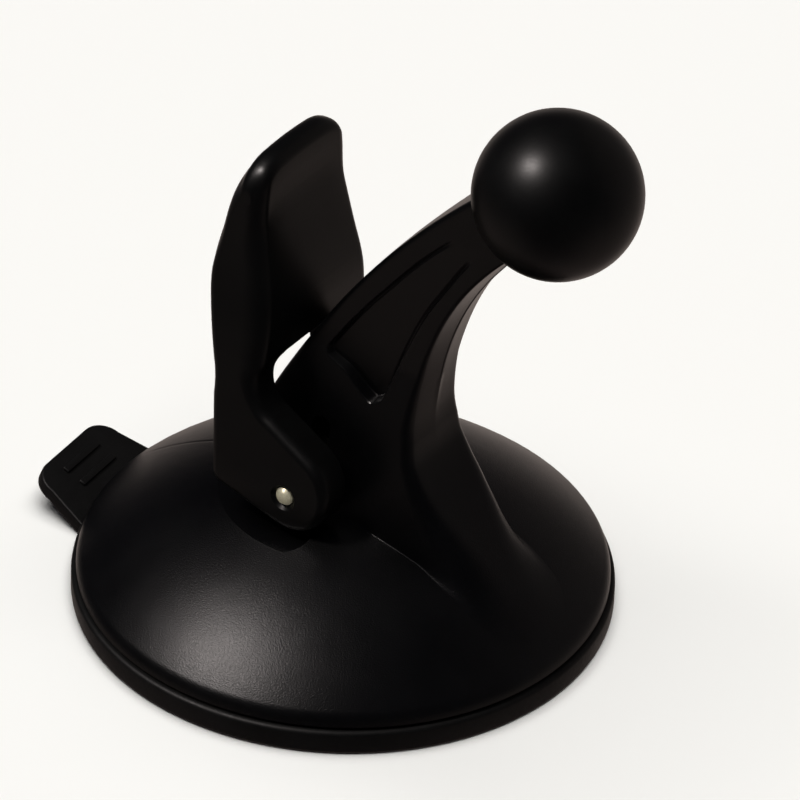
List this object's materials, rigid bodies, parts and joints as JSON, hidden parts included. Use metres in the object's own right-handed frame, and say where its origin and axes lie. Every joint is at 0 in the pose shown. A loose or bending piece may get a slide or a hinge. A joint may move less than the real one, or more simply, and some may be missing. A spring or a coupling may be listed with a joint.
{
  "type": "windscreen suction mount",
  "caption": "Black suction-cup windscreen mount: rubber cup with a pull tab, cam lever on a pin, and a curved arm ending in a ball that a navigator's holder snaps onto.",
  "frame": {"origin": "middle of the suction cup, on the plane of the glass", "axes": "+Z along the cup's axis away from the glass, +X towards the arm and its ball, pivot pin along Y, pull tab towards -X"},
  "size_m": [0.0674, 0.056, 0.0669],
  "materials": {
    "moulded_plastic": "fine grain",
    "ball_plastic": "satin",
    "lever_plastic": "satin",
    "cup_rubber": "matt",
    "stem_plastic": "as moulded",
    "spring_steel": "drawn wire",
    "pin_steel": "nickel plated"
  },
  "bodies": {
    "housing": {"housing": "moulded_plastic", "ball": "ball_plastic", "suction_cup": "cup_rubber", "return_spring": "spring_steel"},
    "stem": {"stem": "stem_plastic", "spring_washer": "spring_steel", "pivot_pin": "pin_steel"},
    "lever": {"lever": "lever_plastic"}
  },
  "joints": [
    {"name": "stem_lift", "type": "slide", "parent": "housing", "child": "stem", "axis": [0, 0, 1], "range_m": [0, 0.0052], "deforming": ["suction_cup", "return_spring"]},
    {"name": "lever_hinge", "type": "hinge", "parent": "stem", "child": "lever", "pos_m": [0, 0, 0.018], "axis": [0, -1, 0], "range_deg": [0, 90]}
  ],
  "couplings": [
    {"joint": "lever_hinge", "follows": "stem_lift", "rad_per_m": 302.07}
  ]
}
